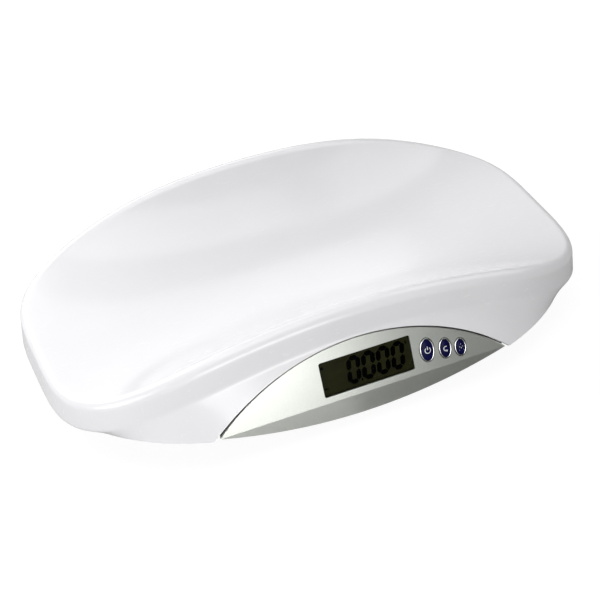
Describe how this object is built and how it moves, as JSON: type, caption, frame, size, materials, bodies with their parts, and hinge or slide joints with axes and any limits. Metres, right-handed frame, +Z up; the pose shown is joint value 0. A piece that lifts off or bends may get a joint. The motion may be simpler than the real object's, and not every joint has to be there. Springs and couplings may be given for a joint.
{
  "type": "digital baby weighing scale",
  "caption": "Digital baby scale: a glossy saddle-shaped weighing pan with a rolled rim over a silver crescent console with a display and oval push buttons.",
  "frame": {"origin": "on the surface that the scale stands on, at the middle of its outline", "axes": "+X along the pan's length, to the right of a person who reads the display; -Y towards that person; +Z up"},
  "size_m": [0.5668, 0.3492, 0.1219],
  "materials": {
    "pan_white": "high gloss",
    "console_silver": "satin silver paint",
    "inner_silver": "moulded",
    "clear_window": "clear, polished",
    "lcd_glass": "dark polariser",
    "lcd_ink": "dark segments",
    "black_plastic": "moulded",
    "zebra_rubber": "layered silicone",
    "board_green": "solder mask",
    "ring_chrome": "bright plated",
    "button_navy": "gloss",
    "switch_white": "moulded",
    "base_white": "fine spark texture",
    "aluminium": "milled",
    "plate_steel": "zinc plated",
    "screw_steel": "zinc plated",
    "battery_jacket": "printed foil",
    "contact_nickel": "nickel plated",
    "foot_rubber": "matt",
    "lead_grey": "soft sleeve"
  },
  "bodies": {
    "base": {"console_housing": "console_silver", "console_back": "inner_silver", "display_window": "clear_window", "lcd_panel": "lcd_glass", "lcd_segments": "lcd_ink", "display_frame": "black_plastic", "zebra_strip": "zebra_rubber", "control_board": "board_green", "board_parts": "black_plastic", "switch_bodies": "black_plastic", "power_button_ring": "ring_chrome", "mode_button_ring": "ring_chrome", "memory_button_ring": "ring_chrome", "base_tray": "base_white", "base_cover": "base_white", "battery_cells": "battery_jacket", "battery_contacts": "contact_nickel", "rubber_feet": "foot_rubber", "load_cell": "aluminium", "cell_base_spacer": "aluminium", "board_screws": "screw_steel", "console_back_screws": "screw_steel", "console_mount_screws": "screw_steel", "cover_screws": "screw_steel", "foot_screws": "screw_steel", "cell_base_screws": "screw_steel", "overload_stops": "screw_steel", "cell_lead": "lead_grey", "battery_lead": "lead_grey"},
    "pan": {"weighing_pan": "pan_white", "pan_support": "plate_steel", "cell_top_spacer": "aluminium", "cell_top_screws": "screw_steel", "pan_screws": "screw_steel"},
    "power_button": {"power_button_cap": "button_navy", "power_switch_plunger": "switch_white"},
    "mode_button": {"mode_button_cap": "button_navy", "mode_switch_plunger": "switch_white"},
    "memory_button": {"memory_button_cap": "button_navy", "memory_switch_plunger": "switch_white"},
    "battery_door": {"battery_door": "base_white"}
  },
  "joints": [
    {"name": "pan_load", "type": "slide", "parent": "base", "child": "pan", "axis": [0, 0, -1], "range_m": [0, 0.0006], "stiffness_N_per_m": 400000, "springref_m": -0.00004, "deforming": ["load_cell"]},
    {"name": "power_press", "type": "slide", "parent": "base", "child": "power_button", "axis": [0, 0.9397, -0.342], "range_m": [0, 0.0007], "stiffness_N_per_m": 2600, "springref_m": -0.0002},
    {"name": "mode_press", "type": "slide", "parent": "base", "child": "mode_button", "axis": [0, 0.9397, -0.342], "range_m": [0, 0.0007], "stiffness_N_per_m": 2600, "springref_m": -0.0002},
    {"name": "memory_press", "type": "slide", "parent": "base", "child": "memory_button", "axis": [0, 0.9397, -0.342], "range_m": [0, 0.0007], "stiffness_N_per_m": 2600, "springref_m": -0.0002},
    {"name": "battery_door_slide", "type": "slide", "parent": "base", "child": "battery_door", "axis": [0, 1, 0], "range_m": [0, 0.055]}
  ]
}
